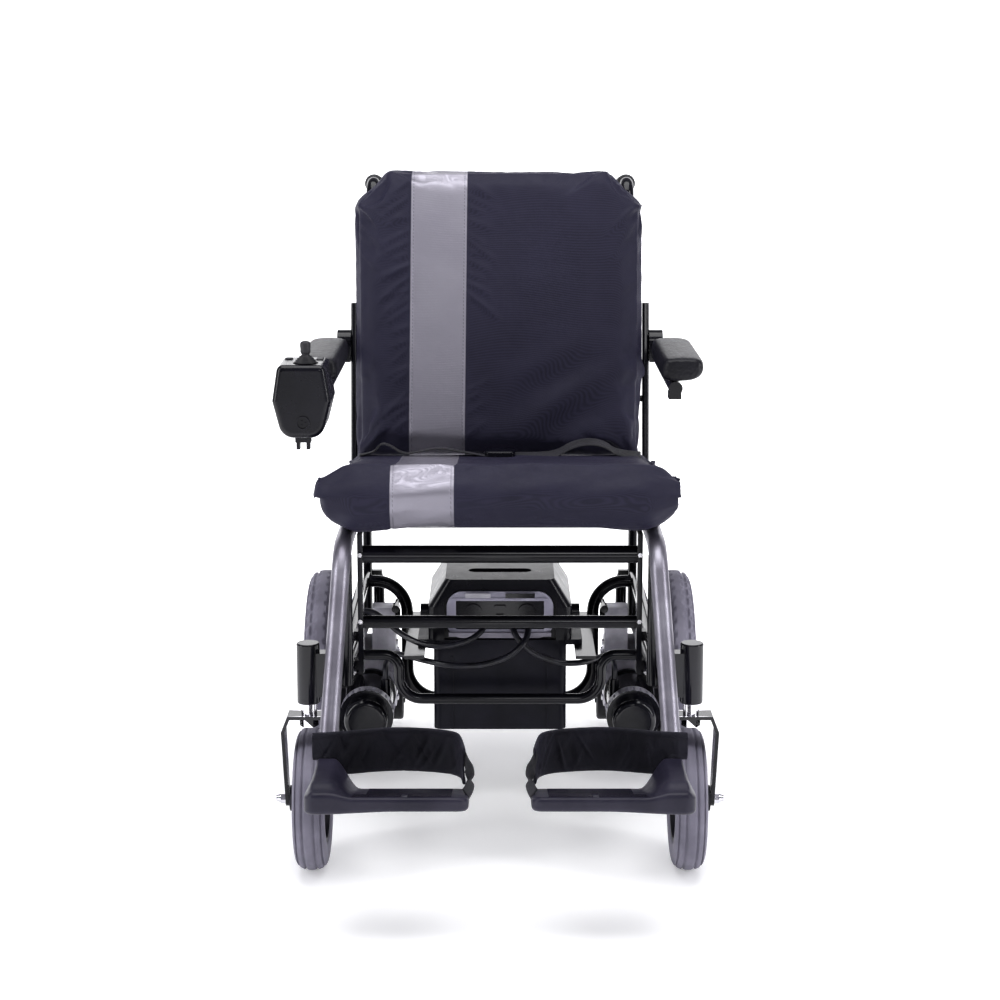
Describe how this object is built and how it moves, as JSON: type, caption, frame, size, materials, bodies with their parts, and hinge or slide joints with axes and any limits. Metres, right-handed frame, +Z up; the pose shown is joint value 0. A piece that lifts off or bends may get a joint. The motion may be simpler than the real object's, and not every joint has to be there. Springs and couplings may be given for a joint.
{
  "type": "power_wheelchair",
  "caption": "Power wheelchair with padded seat and folding back, flip-up arms, joystick controller, battery box, hub-driven rear wheels, swivel casters and flip-up footplates",
  "frame": {"origin": "on the floor under the middle of the chair", "axes": "+Z up, the chair faces -Y, +X is the sitter's left"},
  "size_m": [0.633, 1.0033, 0.9513],
  "materials": {
    "bright_tube": "satin",
    "black_frame": "gloss",
    "tyre_grey": "matte",
    "rim_plastic": "matte",
    "cast_metal": "rough cast",
    "black_plastic": "matte",
    "dark_plastic": "fine texture",
    "panel_metal": "satin",
    "navy_fabric": "woven nylon",
    "black_webbing": "woven webbing",
    "rubber_black": "matte",
    "bright_steel": "polished",
    "cable_black": "semi gloss",
    "plywood": "stained",
    "pad_vinyl": "grained vinyl"
  },
  "bodies": {
    "chassis": {"front_tube_left": "bright_tube", "side_frame_left": "black_frame", "caster_housing_left": "black_frame", "motor_left": "black_plastic", "gearbox_left": "cast_metal", "footrest_leg_left": "black_frame", "front_tube_right": "bright_tube", "side_frame_right": "black_frame", "caster_housing_right": "black_frame", "motor_right": "black_plastic", "gearbox_right": "cast_metal", "footrest_leg_right": "black_frame", "upper_crossbar": "black_frame", "lower_crossbar": "black_frame", "rear_crossbar": "black_frame", "cradle_front_hoop": "black_frame", "cradle_rear_hoop": "black_frame", "anti_tip_bars": "black_frame", "motor_cables": "cable_black", "seat_board": "plywood", "seat_cushion": "navy_fabric", "lap_belt": "black_webbing", "belt_buckle": "black_plastic", "frame_bolts": "bright_steel"},
    "battery_pack": {"battery_case": "black_plastic", "battery_cells": "black_plastic", "battery_lid": "black_plastic", "socket_panel": "panel_metal"},
    "backrest": {"back_frame": "black_frame", "back_cushion": "navy_fabric", "push_grips": "rubber_black"},
    "arm_left": {"arm_frame_left": "black_frame", "arm_pad_left": "pad_vinyl"},
    "caster_swivel_left": {"caster_fork_left": "black_frame"},
    "caster_roller_left": {"caster_wheel_left": "rim_plastic", "caster_tyre_left": "tyre_grey"},
    "drive_wheel_left": {"drive_rim_left": "rim_plastic", "drive_tyre_left": "tyre_grey"},
    "freewheel_left": {"freewheel_lever_left": "black_frame"},
    "foot_left": {"footplate_left": "dark_plastic", "heel_strap_left": "black_webbing"},
    "anti_tip_left": {"anti_tip_wheel_left": "rubber_black"},
    "arm_right": {"arm_frame_right": "black_frame", "arm_pad_right": "pad_vinyl"},
    "caster_swivel_right": {"caster_fork_right": "black_frame"},
    "caster_roller_right": {"caster_wheel_right": "rim_plastic", "caster_tyre_right": "tyre_grey"},
    "drive_wheel_right": {"drive_rim_right": "rim_plastic", "drive_tyre_right": "tyre_grey"},
    "freewheel_right": {"freewheel_lever_right": "black_frame"},
    "foot_right": {"footplate_right": "dark_plastic", "heel_strap_right": "black_webbing"},
    "anti_tip_right": {"anti_tip_wheel_right": "rubber_black"},
    "controller": {"controller_mount": "black_frame", "controller_housing": "black_plastic"},
    "gimbal": {"joystick_gimbal": "black_plastic"},
    "stick": {"joystick": "rubber_black"},
    "power_key": {"power_button": "rubber_black"},
    "horn_key": {"horn_button": "rubber_black"},
    "speed_key": {"speed_rocker": "rubber_black"}
  },
  "joints": [
    {"name": "battery_slide", "type": "slide", "parent": "chassis", "child": "battery_pack", "axis": [0, 1, 0], "range_m": [0, 0.3]},
    {"name": "back_fold", "type": "hinge", "parent": "chassis", "child": "backrest", "pos_m": [0, 0.346, 0.585], "axis": [1, 0, 0], "range_deg": [0, 92]},
    {"name": "arm_flip_left", "type": "hinge", "parent": "chassis", "child": "arm_left", "pos_m": [0.253, 0.36319, 0.676], "axis": [-1, 0, 0], "range_deg": [0, 100]},
    {"name": "caster_swivel_left", "type": "hinge", "parent": "chassis", "child": "caster_swivel_left", "pos_m": [0.263, -0.238, 0.28], "axis": [0, 0, 1], "continuous": true},
    {"name": "caster_roll_left", "type": "hinge", "parent": "caster_swivel_left", "child": "caster_roller_left", "pos_m": [0.263, -0.198, 0.1], "axis": [1, 0, 0], "continuous": true},
    {"name": "drive_roll_left", "type": "hinge", "parent": "chassis", "child": "drive_wheel_left", "pos_m": [0.278, 0.25, 0.16], "axis": [1, 0, 0], "continuous": true},
    {"name": "freewheel_turn_left", "type": "hinge", "parent": "chassis", "child": "freewheel_left", "pos_m": [0.1625, 0.226, 0.258], "axis": [-1, 0, 0], "range_deg": [0, 40]},
    {"name": "foot_flip_left", "type": "hinge", "parent": "chassis", "child": "foot_left", "pos_m": [0.23057, -0.41, 0.196], "axis": [0, 1, 0], "range_deg": [0, 90]},
    {"name": "anti_tip_roll_left", "type": "hinge", "parent": "chassis", "child": "anti_tip_left", "pos_m": [0.176, 0.463, 0.045], "axis": [1, 0, 0], "continuous": true},
    {"name": "arm_flip_right", "type": "hinge", "parent": "chassis", "child": "arm_right", "pos_m": [-0.253, 0.36319, 0.676], "axis": [-1, 0, 0], "range_deg": [0, 100]},
    {"name": "caster_swivel_right", "type": "hinge", "parent": "chassis", "child": "caster_swivel_right", "pos_m": [-0.263, -0.238, 0.28], "axis": [0, 0, 1], "continuous": true},
    {"name": "caster_roll_right", "type": "hinge", "parent": "caster_swivel_right", "child": "caster_roller_right", "pos_m": [-0.263, -0.198, 0.1], "axis": [1, 0, 0], "continuous": true},
    {"name": "drive_roll_right", "type": "hinge", "parent": "chassis", "child": "drive_wheel_right", "pos_m": [-0.278, 0.25, 0.16], "axis": [1, 0, 0], "continuous": true},
    {"name": "freewheel_turn_right", "type": "hinge", "parent": "chassis", "child": "freewheel_right", "pos_m": [-0.1625, 0.226, 0.258], "axis": [-1, 0, 0], "range_deg": [0, 40]},
    {"name": "foot_flip_right", "type": "hinge", "parent": "chassis", "child": "foot_right", "pos_m": [-0.23057, -0.41, 0.196], "axis": [0, -1, 0], "range_deg": [0, 90]},
    {"name": "anti_tip_roll_right", "type": "hinge", "parent": "chassis", "child": "anti_tip_right", "pos_m": [-0.176, 0.463, 0.045], "axis": [1, 0, 0], "continuous": true},
    {"name": "controller_reach", "type": "slide", "parent": "arm_right", "child": "controller", "axis": [0, -1, 0], "range_m": [0, 0.045]},
    {"name": "joystick_pitch", "type": "hinge", "parent": "controller", "child": "gimbal", "pos_m": [-0.272, -0.097, 0.697], "axis": [1, 0, 0], "range_deg": [-15, 15], "stiffness_Nm_per_rad": 0.3},
    {"name": "joystick_roll", "type": "hinge", "parent": "gimbal", "child": "stick", "pos_m": [-0.272, -0.097, 0.697], "axis": [0, 1, 0], "range_deg": [-15, 15], "stiffness_Nm_per_rad": 0.3},
    {"name": "power_press", "type": "slide", "parent": "controller", "child": "power_key", "axis": [0, 0, -1], "range_m": [0, 0.0015], "stiffness_N_per_m": 800},
    {"name": "horn_press", "type": "slide", "parent": "controller", "child": "horn_key", "axis": [0, 0, -1], "range_m": [0, 0.0015], "stiffness_N_per_m": 800},
    {"name": "speed_rock", "type": "hinge", "parent": "controller", "child": "speed_key", "pos_m": [-0.255, -0.056, 0.7005], "axis": [1, 0, 0], "range_deg": [-4, 4], "stiffness_Nm_per_rad": 0.5}
  ]
}
